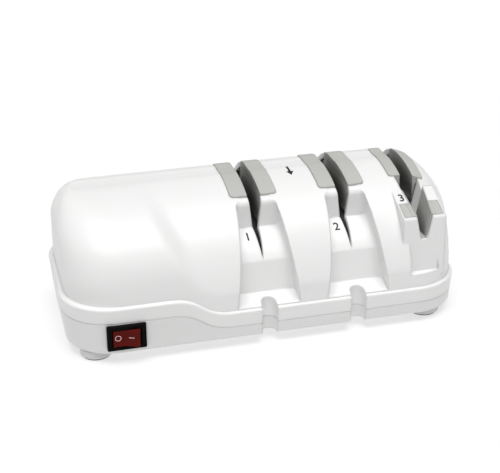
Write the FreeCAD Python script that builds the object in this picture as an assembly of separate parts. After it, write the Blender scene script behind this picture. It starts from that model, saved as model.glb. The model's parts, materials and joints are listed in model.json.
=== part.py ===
import FreeCAD, Part
import math
import os

# Electric knife sharpener, millimetres. +X runs along the machine from the motor to
# the finishing stage, -Y is the front with the switch, +Z is up and z = 0 is the worktop.

Vec = FreeCAD.Vector

# Overall outline, taken at the height of the ledge edge
ledge_z = 22.2
left_x = -111.1
front_y = -50.5
rear_y = 53.5
corner_radius = 28.0
skirt_draft = 0.09
foot_height = 6.0
beyond = 20.0
far = 200.0
sky_gap = 21.0
air_rise = 10.0
air_half = 30.0

# Upper housing
wall = 2.4
setback = 1.8
shoulder_z = 32.6
top_z = 79.0
crest_front_y = 9.5
crest_rear_y = 17.0
stage_swell_z = 20.0
stage_power = 2.12
motor_swell_z = 40.0
motor_power = 2.25
rear_swell_z = 33.0
rear_power = 2.2
end_roll = 24.0
end_roll_z = 55.0
end_power = 2.1
left_roll = 12.0
left_roll_z = 62.0
motor_slant = 0.5
motor_end_gap = 1.5
motor_blend = 14.0
loft_steps = 9

# Flange and parting line, both stepping down beside the motor
motor_flange_z = 33.4
motor_parting_z = 24.4
parting_z = 13.3
step_run = 31.5
step_shift = 7.5
flange_round = 1.1

# Blade slots of the two powered stages
sleeve_length = 10.0
stage_pitch = 50.3
slot_half_top = 3.7
slot_half_kink = 1.7
slot_flare_depth = 5.0
kink_depth = 22.0
blade_reach = 7.0
recess_half_low = 17.6
recess_half_high = 11.4
lip_depth = 9.5
apron_slope = 0.41
apron_end_y = -39.1
cover_top_y = -36.7
kink_y = -19.5
inset_y = -20.3
recess_round = 2.5
lip_round = 4.0
cover_belly = 2.0
cover_bulge = 1.2
notch_width = 8.4
notch_depth = 8.0

# Grey slot linings
lining_half = 13.0
lining_front_y = -16.4
lining_rear_y = 27.0
lining_proud = 0.4
lining_corner = 2.0
cheek_wall = 1.8
window_height = 40.0
wheel_clearance = 0.5
seat_gap = 0.1

# Third stage, honed by hand
hone_pitch = 39.2
end_margin = 24.7
hone_half_top = 3.75
hone_lining_half = 10.35
hone_lining_front_y = -13.4
hone_lining_rear_y = 23.0
hone_depth = 27.0
vee_half_low = 1.85
vee_depth = 30.4
vee_half_high = 5.1
vee_flare_depth = 15.0
vee_rise = 26.0
block_half = 12.4
block_setback = 6.5
block_depth = 17.0
block_slope = 0.41
block_length = 22.0
block_round = 1.5
block_root_z = 26.0
shelf_half = 8.6
shelf_z = 30.0
shelf_headroom = 4.0
inlay_setback = 1.4
inlay_length = 9.6
inlay_half = 11.2
inlay_depth = 1.6
inlay_proud = 0.2
inlay_rise = 2.0
inlay_crown = 6.0
rod_diameter = 2.2
rod_lean = 24.0

# Drive line
axis_y = 2.0
axis_z = 37.0
shaft_radius = 4.0
shaft_end_gap = 5.6
shaft_stub = 2.5
shaft_chamfer = 0.6
running_gap = 0.05
wheel_rim_radius = 21.5
wheel_root_radius = 11.5
wheel_bevel = 3.4
wheel_width = 8.5
wheel_half_gap = 0.4
wheel_dish = 2.5
wheel_land = 3.0
wheel_dish_slope = 2.0
hub_radius = 8.5
sleeve_radius = 7.0
collar_gap = 0.5
collar_radius = 7.0
collar_width = 2.5
washer_thick = 1.5
nut_height = 6.5
nut_across = 13.0
bush_radius = 7.0
bush_length = 8.0
nut_gap = 1.4
bearing_width = 8.0
bearing_half_foot = 16.0
bearing_head_radius = 11.5
bearing_shoulder = 3.0

# Motor
stack_length = 30.0
stator_side = 48.0
stator_round = 7.0
stator_yoke = 4.0
stator_side_yoke = 6.5
pole_shoe = 1.5
pole_neck_half = 8.0
pole_angle = 112.0
stator_rib_inset = 4.0
stator_rib_half = 15.0
coil_low = 8.0
coil_round = 2.0
coil_overhang = 8.0
coil_gap = 0.3
rotor_gap = 0.5
rotor_radius = 14.6
rotor_slots = 12
rotor_slot_width = 2.6
rotor_slot_root = 8.5
winding_overhang = 6.0
winding_gap = 0.1
winding_drop = 1.2
winding_round = 1.5
riser_gap = 1.0
commutator_length = 9.5
commutator_radius = 8.5
commutator_bars = 12
riser_rise = 1.3
riser_width = 2.0
bar_groove = 0.5
bar_groove_depth = 0.6
brush_gap = 0.3
brush_side = 5.0
brush_reach = 12.0
brush_wall = 1.2
brush_box_gap = 2.0
brush_cap = 1.5
bracket_plate = 3.0
commutator_gap = 3.5
fan_clearance = 2.0
bush_inset = 1.0
bracket_half_y = 24.0
bracket_half_z = 20.0
bracket_foot_half = 14.0
bracket_boss_radius = 10.0
bracket_boss_proud = 1.0
bracket_window_inner = 13.0
bracket_window_outer = 19.0
bracket_window_half = 11.0
column_radius = 3.3
bolt_radius = 1.6
bolt_y = 20.6
bolt_z = 16.0
bolt_head_radius = 3.0
bolt_head = 2.2
bolt_tail = 1.5
fan_gap = 1.0
fan_radius = 21.0
fan_blades = 9
fan_width = 8.0
fan_plate = 1.6
fan_blade_thick = 1.4

# Switch
switch_inset = 30.7
switch_z = 16.5
bezel_width = 21.0
bezel_height = 15.0
bezel_thick = 1.8
bezel_round = 0.7
switch_width = 19.0
switch_height = 12.8
switch_depth = 17.0
switch_gap = 0.15
rocker_width = 15.0
rocker_height = 9.6
rocker_gap = 0.35
rocker_tilt = 11.0
rocker_nose = 2.3
rocker_back = 2.5
rocker_pivot = 0.4
pin_radius = 1.2
pin_length = 0.9
terminal_width = 4.8
terminal_thick = 0.8
terminal_length = 6.5
terminal_pitch = 6.5

# Feet, posts and screws
foot_inset_left = 16.1
foot_inset_right = 19.7
foot_inset_y = 16.0
foot_radius = 8.9
foot_round = 1.6
sole_thick = 1.0
sole_radius = 7.6
boss_radius = 5.0
boss_drop = 19.0
screw_radius = 1.75
screw_gap = 0.15
screw_head_radius = 3.4
screw_head = 2.2
screw_head_z = 3.2
screw_cross = 4.0
screw_cross_width = 1.0
screw_cross_depth = 1.2
screw_top_z = 36.0
screw_tip_gap = 4.0

# Base
base_round = 1.2
cradle_rib = 1.8
cradle_height = 7.0
vent_width = 2.0
vent_pitch = 4.5
vent_half_length = 20.0
vent_count = 3

# Cord gland
gland_inset = 41.1
gland_z = 16.5
gland_bore = 3.6
gland_neck = 5.4
gland_radius = 7.0
gland_flange = 2.0
gland_gap = 0.1
gland_edge = 0.8
gland_lock_step = 0.6

# Rods of the finishing stage
rod_holder_half = 9.0
rod_holder_front = -9.0
rod_holder_rear = 19.0
rod_holder_drop = 2.0
rod_holder_height = 9.0
rod_y = [-3.0, 13.0]
rod_length = 21.0
rod_cross_rise = 6.0
rod_seat = 3.0
rod_groove = 3.0
rod_holder_round = 1.0
rod_post_radius = 6.0

# Places along the machine, from the left end wall through the motor to the last stage
shaft_left_x = left_x + shaft_end_gap
bracket_left_x = shaft_left_x + shaft_stub
commutator_left_x = bracket_left_x + bracket_plate + commutator_gap
stack_left_x = commutator_left_x + commutator_length + riser_gap + winding_overhang
stack_right_x = stack_left_x + stack_length
fan_left_x = stack_right_x + coil_overhang + fan_gap
bracket_right_x = fan_left_x + fan_width + fan_clearance
collar_x = bracket_right_x - bush_inset + bush_length + collar_gap
wheel_reach = wheel_half_gap + wheel_width
first_stage_x = round(collar_x + collar_width + sleeve_length + wheel_reach, 6)
stage_x = [first_stage_x, round(first_stage_x + stage_pitch, 6)]
nut_left_x = stage_x[1] + wheel_reach + washer_thick
block_left_x = nut_left_x + nut_height + nut_gap
shaft_right_x = block_left_x + bearing_width + shaft_stub
hone_x = stage_x[1] + hone_pitch
right_x = round(hone_x + end_margin, 6)
step_start_x = bracket_right_x + step_shift - step_run
step_end_x = step_start_x + step_run
motor_end_x = bracket_right_x + motor_end_gap
switch_x = round(left_x + switch_inset, 6)
gland_x = left_x + gland_inset
foot_x = [left_x + foot_inset_left, round(right_x - foot_inset_right, 6)]
foot_y = [front_y + foot_inset_y, rear_y - foot_inset_y]

# Heights that follow from the crest, the shaft and the floor
sky_z = top_z + sky_gap
floor_z = foot_height + wall
boss_top_z = top_z - boss_drop
slot_top_z = top_z - slot_flare_depth
kink_z = top_z - kink_depth
slot_tip_z = axis_z + blade_reach
recess_high_z = top_z - lip_depth
cheek_bottom_z = axis_z + wheel_rim_radius + wheel_clearance
hone_floor_z = top_z - hone_depth
vee_low_z = top_z - vee_depth
vee_high_z = top_z - vee_flare_depth
vee_top_z = vee_high_z + vee_rise
block_front_z = top_z - block_depth
rod_holder_high = hone_floor_z - rod_holder_drop
rod_holder_low = rod_holder_high - rod_holder_height
rod_cross_z = hone_floor_z + rod_cross_rise

# Depths that follow from the front
block_front_y = front_y + block_setback
block_back_y = block_front_y + block_length
inlay_front_y = block_front_y + inlay_setback
inlay_rear_y = inlay_front_y + inlay_length


def rounded_outline(left, right, front, rear, left_radius, right_radius, z):
    """Closed outline of four straight sides and four quarter rounds."""
    chord = 1 - math.sqrt(0.5)
    a = right_radius
    b = left_radius
    rounds = [
        (Vec(right - a, front, z), Vec(right - a * chord, front + a * chord, z), Vec(right, front + a, z)),
        (Vec(right, rear - a, z), Vec(right - a * chord, rear - a * chord, z), Vec(right - a, rear, z)),
        (Vec(left + b, rear, z), Vec(left + b * chord, rear - b * chord, z), Vec(left, rear - b, z)),
        (Vec(left, front + b, z), Vec(left + b * chord, front + b * chord, z), Vec(left + b, front, z)),
    ]
    edges = []
    for i in range(4):
        edges.append(Part.Arc(*rounds[i]).toShape())
        edges.append(Part.makeLine(rounds[i][2], rounds[(i + 1) % 4][0]))
    return Part.Wire(edges)


def box(x, y, z):
    """Box from three (low, high) pairs."""
    return Part.makeBox(x[1] - x[0], y[1] - y[0], z[1] - z[0], Vec(x[0], y[0], z[0]))


def prism_along_y(points, low, high):
    """Front-view outline (x, z) carried along Y."""
    ring = [Vec(x, low, z) for x, z in points]
    return Part.Face(Part.makePolygon(ring + ring[:1])).extrude(Vec(0, high - low, 0))


def prism_along_x(edges, low, high):
    """Side-view outline, drawn at x = 0, carried along X."""
    face = Part.Face(Part.Wire(edges))
    face.translate(Vec(low, 0, 0))
    return face.extrude(Vec(high - low, 0, 0))


def cylinder_x(radius, low, high, y=axis_y, z=axis_z):
    return Part.makeCylinder(radius, high - low, Vec(low, y, z), Vec(1, 0, 0))


def cylinder_z(radius, x, y, low, high):
    return Part.makeCylinder(radius, high - low, Vec(x, y, low))


def turned_x(profile):
    """Closed (x, radius) profile turned about the shaft axis."""
    ring = [Vec(x, axis_y, axis_z + r) for x, r in profile]
    face = Part.Face(Part.makePolygon(ring + ring[:1]))
    return face.revolve(Vec(0, axis_y, axis_z), Vec(1, 0, 0), 360)


def reach(z, start, top, power):
    """Share of the full reach that is left at height z on a rounded shoulder."""
    u = min(1.0, max(0.0, (z - start) / (top - start)))
    return (1 - u ** power) ** (1 / power)


body_left = left_x + setback
body_right = right_x - setback
body_front = front_y + setback
body_rear = rear_y - setback


def body_section(z):
    """Plan extents at height z: left, right, motor front, stage front, rear, end of the motor part."""
    swell = reach(z, motor_swell_z, top_z, motor_power)
    motor_front = crest_front_y - (crest_front_y - body_front) * swell
    arch = reach(z, stage_swell_z, top_z, stage_power)
    full_arch = reach(shoulder_z, stage_swell_z, top_z, stage_power)
    stage_front = crest_front_y - (crest_front_y - body_front) * arch / full_arch
    rear = crest_rear_y + (body_rear - crest_rear_y) * reach(z, rear_swell_z, top_z, rear_power)
    left = body_left + left_roll * (1 - reach(z, left_roll_z, top_z, end_power))
    right = body_right - end_roll * (1 - reach(z, end_roll_z, top_z, end_power))
    motor_end = motor_end_x - motor_slant * (z - shoulder_z)
    return left, right, motor_front, stage_front, rear, motor_end


def body_outline(z, inset):
    """Plan outline at one height: four rounds, straight sides and the step beside the motor."""
    left, right, motor_front, stage_front, rear, motor_end = body_section(z + inset)
    left, right, rear = left + inset, right - inset, rear - inset
    motor_front, stage_front = motor_front + inset, stage_front + inset
    most = 0.45 * (rear - max(motor_front, stage_front))
    radius = min(corner_radius - inset, most)
    mid = radius * (1 - math.sqrt(0.5))
    start = Vec(motor_end - motor_blend, motor_front, z)
    end = Vec(motor_end, stage_front, z)
    step = Part.BezierCurve()
    step.setPoles([start, start + Vec(motor_blend / 2, 0, 0), end - Vec(motor_blend / 2, 0, 0), end])
    rounds = [
        (Vec(right - radius, stage_front, z), Vec(right - mid, stage_front + mid, z),
         Vec(right, stage_front + radius, z)),
        (Vec(right, rear - radius, z), Vec(right - mid, rear - mid, z), Vec(right - radius, rear, z)),
        (Vec(left + radius, rear, z), Vec(left + mid, rear - mid, z), Vec(left, rear - radius, z)),
        (Vec(left, motor_front + radius, z), Vec(left + mid, motor_front + mid, z),
         Vec(left + radius, motor_front, z)),
    ]
    edges = []
    for i in range(4):
        edges.append(Part.Arc(*rounds[i]).toShape())
        if i < 3:
            edges.append(Part.makeLine(rounds[i][2], rounds[i + 1][0]))
    edges += [Part.makeLine(rounds[3][2], start), step.toShape(), Part.makeLine(end, rounds[0][0])]
    return Part.Wire(edges)


def body_form(inset):
    """Whole upper form above the ledge: a low wall under a form lofted up to its crest."""
    sections = []
    for i in range(loft_steps + 1):
        rise = math.sin(math.radians(90.0 * i / loft_steps))
        sections.append(body_outline(shoulder_z + (top_z - inset - shoulder_z) * rise, inset))
    upper = Part.makeLoft(sections, True, False)
    low_wall = Part.Face(sections[0]).extrude(Vec(0, 0, parting_z - shoulder_z))
    return low_wall.fuse(upper)


def skirt_outline(z, inset):
    grow = skirt_draft * (z - ledge_z) - inset
    return rounded_outline(left_x - grow, right_x + grow, front_y - grow, rear_y + grow,
                           corner_radius + grow, corner_radius + grow, z)


def skirt_form(low, high, inset):
    """Drafted outer band that both housings share."""
    return Part.makeLoft([skirt_outline(low, inset), skirt_outline(high, inset)], True, True)


def stepped_region(left_z, right_z):
    """Everything between the worktop and a line that steps down from left_z to right_z."""
    run = step_end_x - step_start_x
    drop = left_z - right_z
    radius = (run * run + drop * drop) / (4 * drop)
    half = math.asin(run / 2 / radius) / 2
    low = -far / 2
    mid = Vec(step_start_x + run / 2, low, (left_z + right_z) / 2)
    upper = Vec(step_start_x + radius * math.sin(half), low, left_z - radius * (1 - math.cos(half)))
    lower = Vec(step_end_x - radius * math.sin(half), low, right_z + radius * (1 - math.cos(half)))
    start = Vec(step_start_x, low, left_z)
    end = Vec(step_end_x, low, right_z)
    corners = [Vec(far, low, right_z), Vec(far, low, 0), Vec(-far, low, 0), Vec(-far, low, left_z)]
    edges = [Part.makeLine(corners[3], start), Part.Arc(start, upper, mid).toShape(),
             Part.Arc(mid, lower, end).toShape(), Part.makeLine(end, corners[0])]
    for i in range(3):
        edges.append(Part.makeLine(corners[i], corners[i + 1]))
    return Part.Face(Part.Wire(edges)).extrude(Vec(0, far, 0))


def recess_form(x, grow):
    """Air in front of one powered stage; grown by the wall it also shapes the inside."""
    low = Vec(0, front_y - beyond, ledge_z - beyond * apron_slope - grow)
    foot = Vec(0, apron_end_y + grow, ledge_z + (apron_end_y - front_y) * apron_slope - grow)
    cover = Vec(0, cover_top_y + grow, slot_tip_z)
    crown = Vec(0, (cover_top_y + kink_y) / 2 - cover_belly + grow * 0.7,
                (slot_tip_z + kink_z) / 2 + cover_bulge - grow * 0.7)
    kink = Vec(0, kink_y + grow, kink_z - grow)
    inset = Vec(0, inset_y + grow, recess_high_z)
    lip = Vec(0, inset_y + grow + lip_round * 0.293, recess_high_z + lip_round * 0.707)
    top = Vec(0, inset_y + grow + lip_round, recess_high_z + lip_round)
    sky = Vec(0, top.y, top_z + air_rise)
    out = Vec(0, low.y, sky.z)
    edges = [Part.makeLine(low, foot), Part.makeLine(foot, cover), Part.Arc(cover, crown, kink).toShape(),
             Part.makeLine(kink, inset), Part.Arc(inset, lip, top).toShape(), Part.makeLine(top, sky),
             Part.makeLine(sky, out), Part.makeLine(out, low)]
    side = prism_along_x(edges, x - air_half, x + air_half)
    rise = recess_high_z - ledge_z
    lean = (recess_half_low - recess_half_high) / rise
    low_half = recess_half_low + lean * ledge_z + grow
    high_half = recess_half_high - lean * (sky.z - recess_high_z) + grow
    front = prism_along_y([(x - low_half, 0), (x + low_half, 0), (x + high_half, sky.z), (x - high_half, sky.z)],
                          low.y - 1, 10)
    air = side.common(front)
    if grow > 0:
        return air
    return air.makeFillet(recess_round, recess_corners(air, x))


def recess_corners(air, x):
    """Inner corners of a recess, where its two side walls meet the cover."""
    found = []
    for edge in air.Edges:
        centre = edge.CenterOfMass
        runs_along = edge.BoundBox.XLength < 6 and abs(centre.x - x) > 5
        inside = centre.y > cover_top_y - 6 and centre.z < recess_high_z - 1
        if runs_along and inside and centre.z > ledge_z:
            found.append(edge)
    return found


def shelf_form(grow):
    """Air in front of the finishing block, above its shelf."""
    half = shelf_half + grow
    return box((hone_x - half, hone_x + half), (front_y - beyond, block_front_y + grow),
               (shelf_z - grow, block_front_z + shelf_headroom))


def block_form(inset):
    """Finishing block that stands out of the arch."""
    front = block_front_y + inset
    face_top = block_front_z - inset
    back_z = face_top + block_slope * (block_back_y - front)
    low = block_root_z
    edges = [Part.makeLine(Vec(0, front, low), Vec(0, front, face_top - block_round)),
             Part.Arc(Vec(0, front, face_top - block_round),
                      Vec(0, front + block_round * 0.293, face_top - block_round * 0.293),
                      Vec(0, front + block_round, face_top + block_slope * block_round * 0.5)).toShape(),
             Part.makeLine(Vec(0, front + block_round, face_top + block_slope * block_round * 0.5),
                           Vec(0, block_back_y, back_z)),
             Part.makeLine(Vec(0, block_back_y, back_z), Vec(0, block_back_y, low)),
             Part.makeLine(Vec(0, block_back_y, low), Vec(0, front, low))]
    half = block_half - inset
    return prism_along_x(edges, hone_x - half, hone_x + half)


def slot_wedge(x, grow):
    """Blade slot of a powered stage: wide at the top, to a point at the tip."""
    tip = slot_tip_z - 2 * grow
    outline = [(x - slot_half_top - grow, sky_z), (x - slot_half_top - grow, slot_top_z),
               (x - slot_half_kink - grow, kink_z), (x, tip), (x + slot_half_kink + grow, kink_z),
               (x + slot_half_top + grow, slot_top_z), (x + slot_half_top + grow, sky_z)]
    return prism_along_y(outline, front_y - beyond, rear_y + beyond)


def vee_wedge(grow, low_y, high_y):
    """V of the finishing stage, with a narrow flat floor."""
    rise = (vee_half_high - vee_half_low) / (vee_high_z - vee_low_z)
    half = vee_half_high + rise * vee_rise + grow
    outline = [(hone_x - half, vee_top_z), (hone_x - vee_half_low - grow, vee_low_z - grow),
               (hone_x + vee_half_low + grow, vee_low_z - grow), (hone_x + half, vee_top_z)]
    return prism_along_y(outline, low_y, high_y)


def hone_slot():
    """Straight slot of the third stage behind its V."""
    return box((hone_x - hone_half_top, hone_x + hone_half_top), (hone_lining_front_y - 1, rear_y + beyond),
               (hone_floor_z, sky_z))


def lining_window(x, half, front, rear, gap):
    """Plan window that a pair of slot linings fills."""
    outline = rounded_outline(x - half - gap, x + half + gap, front - gap, rear + gap,
                              lining_corner, lining_corner, cheek_bottom_z)
    return Part.Face(outline).extrude(Vec(0, 0, window_height))


def notch_form(x):
    """Round-ended notch through the ledge in line with a slot."""
    half = notch_width / 2
    end_y = front_y + notch_depth
    straight = box((x - half, x + half), (front_y - beyond, end_y - half), (0, ledge_z + beyond))
    return straight.fuse(cylinder_z(half, x, end_y - half, 0, ledge_z + beyond))


def upper_flange():
    """Band of the upper housing, from the parting line to its rounded edge."""
    band = skirt_form(parting_z - 1, motor_flange_z + 1, 0)
    band = band.common(stepped_region(motor_flange_z, ledge_z))
    rim = []
    for edge in band.Edges:
        centre = edge.CenterOfMass
        level = ledge_z if centre.x > step_end_x else motor_flange_z
        stepping = step_start_x < centre.x < step_end_x and centre.z > ledge_z
        if (abs(centre.z - level) < 0.01 and edge.BoundBox.ZLength < 0.01) or stepping:
            rim.append(edge)
    band = band.makeFillet(flange_round, rim)
    return band.cut(stepped_region(motor_parting_z, parting_z))


def upper_housing():
    solid_form = body_form(0).cut(stepped_region(motor_parting_z, parting_z))
    outside = solid_form.fuse([upper_flange(), block_form(0)])
    inner_band = skirt_form(parting_z - 1, motor_flange_z, wall)
    inner_band = inner_band.common(stepped_region(motor_flange_z - wall, ledge_z - wall))
    inside = body_form(wall).fuse([inner_band, block_form(wall)])
    for x in stage_x:
        outside = outside.cut(recess_form(x, 0))
        inside = inside.cut(recess_form(x, wall))
        inside = inside.cut(thick_notch(x))
    outside = outside.cut(shelf_form(0))
    inside = inside.cut([shelf_form(wall), vee_wedge(wall, front_y - beyond, hone_lining_front_y)])
    shell = outside.cut(inside)
    for x in foot_x:
        for y in foot_y:
            post = cylinder_z(boss_radius, x, y, parting_z, boss_top_z).common(inside)
            shell = shell.fuse(post)
    cuts = [stepped_region(motor_parting_z, parting_z), vee_wedge(0, front_y - beyond, hone_lining_front_y),
            hone_slot(), inlay_pocket(seat_gap)]
    for x in stage_x:
        cuts += [slot_wedge(x, 0), notch_form(x),
                 lining_window(x, lining_half, lining_front_y, lining_rear_y, seat_gap)]
    cuts.append(lining_window(hone_x, hone_lining_half, hone_lining_front_y, hone_lining_rear_y, seat_gap))
    for x in foot_x:
        for y in foot_y:
            cuts.append(cylinder_z(screw_radius, x, y, 0, screw_top_z + screw_tip_gap))
    return shell.cut(cuts)


def thick_notch(x):
    """Notch grown by the wall, so that the inside keeps clear of it."""
    half = notch_width / 2 + wall
    return box((x - half, x + half), (front_y - beyond, front_y + notch_depth + wall), (0, ledge_z + air_rise))


def lining_cheeks(x, half, front, rear, slot_half, slot_cut, names):
    """The two grey linings on either side of a blade slot."""
    skin = body_form(-lining_proud)
    plate = skin.cut(body_form(wall)).common(lining_window(x, half, front, rear, 0))
    wall_half = slot_half + cheek_wall
    web = box((x - wall_half, x + wall_half), (front, rear), (cheek_bottom_z, sky_z)).common(skin)
    whole = plate.fuse(web).cut(slot_cut)
    for name, side in zip(names, (-1, 1)):
        keep = box(sorted((x, x + side * (half + 1))), (front, rear), (0, sky_z))
        write(name, whole.common(keep))


def inlay_pocket(gap):
    """Seat of the two grey inlays on the finishing block."""
    half = inlay_half + gap
    slab = block_form(0).cut(block_form(inlay_depth + gap))
    region = box((hone_x - half, hone_x + half), (inlay_front_y - gap, inlay_rear_y + gap),
                 (vee_low_z + inlay_rise, vee_top_z))
    lining = vee_wedge(inlay_depth + gap, inlay_front_y - gap, inlay_rear_y + gap)
    lining = lining.common(box((hone_x - half, hone_x + half), (front_y - beyond, rear_y + beyond),
                               (vee_low_z + inlay_rise, block_front_z + inlay_crown)))
    return slab.common(region).fuse(lining)


def finishing_insert():
    """Grey lining of the finishing V, folded over the top of the block."""
    insert = inlay_pocket(0).common(block_form(-inlay_proud))
    return insert.cut(vee_wedge(0, front_y - beyond, 0))


def rod_holder():
    """Carrier under the third slot; its bores keep the two rods crossed."""
    holder = box((hone_x - rod_holder_half, hone_x + rod_holder_half), (rod_holder_front, rod_holder_rear),
                 (rod_holder_low, rod_holder_high))
    holder = holder.makeFillet(rod_holder_round, [e for e in holder.Edges if e.BoundBox.ZLength > 1])
    groove = box((hone_x - vee_half_low, hone_x + vee_half_low), (rod_holder_front - 1, rod_holder_rear + 1),
                 (rod_holder_high - rod_groove, rod_holder_high + 1))
    return holder.cut([groove, ceramic_rods(running_gap)])


def ceramic_rods(grow):
    """Two rods crossing in the middle of the slot, one behind the other."""
    rods = []
    for y, side in zip(rod_y, (-1, 1)):
        lean = math.radians(rod_lean)
        along = Vec(side * math.sin(lean), 0, math.cos(lean))
        start = Vec(hone_x, y, rod_cross_z) - along * ((rod_cross_z - rod_holder_low - rod_seat) / math.cos(lean))
        rods.append(Part.makeCylinder(rod_diameter / 2 + grow, rod_length + 4 * grow, start, along))
    return Part.makeCompound(rods)


def base_housing():
    """Lower housing: drafted tub with its posts, motor cradle, vents and openings."""
    outside = skirt_form(foot_height, motor_parting_z + 1, 0)
    bottom = [e for e in outside.Edges if abs(e.BoundBox.ZMax - foot_height) < 0.01]
    outside = outside.makeFillet(base_round, bottom)
    inside = skirt_form(floor_z, motor_parting_z + 2, wall)
    for x in stage_x:
        outside = outside.cut(notch_form(x))
        inside = inside.cut(thick_notch(x))
    shell = outside.cut(inside)
    posts = []
    for x in foot_x:
        for y in foot_y:
            posts.append(cylinder_z(boss_radius, x, y, foot_height + 1, motor_parting_z + 1))
    posts += cradle_ribs()
    shell = shell.fuse(posts).common(stepped_region(motor_parting_z, parting_z))
    tall = [rod_post(), stator_ribs()]
    holes = [switch_window(), gland_form(gland_gap)] + floor_vents()
    for x in foot_x:
        for y in foot_y:
            holes.append(cylinder_z(screw_radius + screw_gap, x, y, 0, screw_top_z + screw_tip_gap))
    return shell.fuse(tall).cut(holes)


def rod_post():
    """Hollow pillar that carries the rod holder."""
    y = (rod_holder_front + rod_holder_rear) / 2
    return cylinder_z(rod_post_radius, hone_x, y, floor_z - 0.5, rod_holder_low)


def cradle_ribs():
    """Pairs of ribs that hold the foot of each motor bracket and of the bearing block."""
    ribs = []
    plates = [(bracket_left_x, bracket_plate, bracket_foot_half),
              (bracket_right_x, bracket_plate, bracket_foot_half),
              (block_left_x, bearing_width, bearing_half_foot)]
    for x, thick, half in plates:
        for low in (x - seat_gap - cradle_rib, x + thick + seat_gap):
            ribs.append(box((low, low + cradle_rib), (axis_y - half, axis_y + half),
                            (floor_z - 0.5, floor_z + cradle_height)))
    return ribs


def stator_ribs():
    """Two ribs under the stator."""
    top = axis_z - stator_side / 2
    ribs = []
    for x in (stack_left_x + stator_rib_inset, stack_right_x - stator_rib_inset - cradle_rib):
        ribs.append(box((x, x + cradle_rib), (axis_y - stator_rib_half, axis_y + stator_rib_half), (floor_z - 0.5, top)))
    return ribs[0].fuse(ribs[1])


def floor_vents():
    """Air slots in the floor under the fan and under the commutator."""
    vents = []
    for first in (fan_left_x - vent_pitch, commutator_left_x):
        for i in range(vent_count):
            x = first + i * vent_pitch
            vents.append(box((x, x + vent_width), (axis_y - vent_half_length, axis_y + vent_half_length),
                             (0, floor_z + 0.3)))
    return vents


def onto_front(shape):
    """Set a piece drawn upright at the origin onto the leaning front wall."""
    centre = Vec(switch_x, front_y - skirt_draft * (switch_z - ledge_z), switch_z)
    placed = shape.copy()
    placed.translate(centre)
    placed.rotate(centre, Vec(1, 0, 0), math.degrees(math.atan(skirt_draft)))
    return placed


def switch_window():
    half = switch_width / 2 + switch_gap
    rise = switch_height / 2 + switch_gap
    return onto_front(box((-half, half), (-5, 8), (-rise, rise)))


def switch_body():
    """Bezel and box of the rocker switch, hollow where the rocker swings."""
    half = bezel_width / 2
    rise = bezel_height / 2
    bezel = box((-half, half), (-bezel_thick, 0), (-rise, rise))
    rim = [e for e in bezel.Edges if e.CenterOfMass.y < -bezel_thick / 3]
    bezel = bezel.makeFillet(bezel_round, rim)
    body = box((-switch_width / 2, switch_width / 2), (-0.5, switch_depth), (-switch_height / 2, switch_height / 2))
    half = rocker_width / 2 + rocker_gap
    rise = rocker_height / 2 + rocker_gap
    mouth = box((-half, half), (-bezel_thick - 1, rocker_pivot), (-rise, rise))
    pocket = cylinder_z(half, 0, rocker_pivot, -rise, rise)
    deep = rocker_height / 2 + pin_length + rocker_gap / 2
    socket = cylinder_z(pin_radius + running_gap, 0, rocker_pivot, -deep, deep)
    return onto_front(bezel.fuse(body).cut([mouth, pocket, socket]))


def switch_rocker():
    """Rocker, drawn level and then tipped to its off position."""
    radius = rocker_width / 2
    barrel = cylinder_z(radius, 0, 0, -rocker_height / 2, rocker_height / 2)
    side = radius + 1
    drop = rocker_nose + side * math.tan(math.radians(rocker_tilt))
    ring = [Vec(-side, -drop, -20), Vec(0, -rocker_nose, -20), Vec(side, -drop, -20), Vec(side, rocker_back, -20),
            Vec(-side, rocker_back, -20)]
    keep = Part.Face(Part.makePolygon(ring + ring[:1])).extrude(Vec(0, 0, 40))
    reach_z = rocker_height / 2 + pin_length
    rocker = barrel.common(keep).fuse(cylinder_z(pin_radius, 0, 0, -reach_z, reach_z))
    rocker.rotate(Vec(0, 0, 0), Vec(0, 0, 1), -rocker_tilt)
    rocker.translate(Vec(0, rocker_pivot, 0))
    return onto_front(rocker)


def switch_terminals():
    """Two flat blades on the back of the switch."""
    blades = []
    for side in (-1, 1):
        x = side * terminal_pitch / 2
        blade = box((x - terminal_thick / 2, x + terminal_thick / 2), (switch_depth, switch_depth + terminal_length),
                    (-terminal_width / 2, terminal_width / 2))
        blades.append(onto_front(blade))
    return Part.makeCompound(blades)


def gland_form(gap):
    """Cord gland of the rear wall; with a gap it is the hole for its neck."""
    lean = -math.degrees(math.atan(skirt_draft))
    centre = Vec(gland_x, rear_y + skirt_draft * (gland_z - ledge_z), gland_z)
    back = Vec(0, -1, 0)
    if gap > 0:
        form = Part.makeCylinder(gland_neck + gap, wall + 4, centre + Vec(0, 2, 0), back)
    else:
        form = Part.makeCylinder(gland_radius, gland_flange, centre + Vec(0, gland_flange, 0), back)
        rim = [e for e in form.Edges if abs(e.CenterOfMass.y - centre.y - gland_flange) < 0.01]
        form = form.makeFillet(gland_edge, rim)
        neck = Part.makeCylinder(gland_neck, wall + 0.5, centre + Vec(0, 0.5, 0), back)
        lock = Part.makeCylinder(gland_radius - gland_lock_step, gland_flange, centre - Vec(0, wall, 0), back)
        form = form.fuse([neck, lock])
        form = form.cut(Part.makeCylinder(gland_bore, 20, centre + Vec(0, 10, 0), back))
    form.rotate(centre, Vec(1, 0, 0), lean)
    return form


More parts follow.
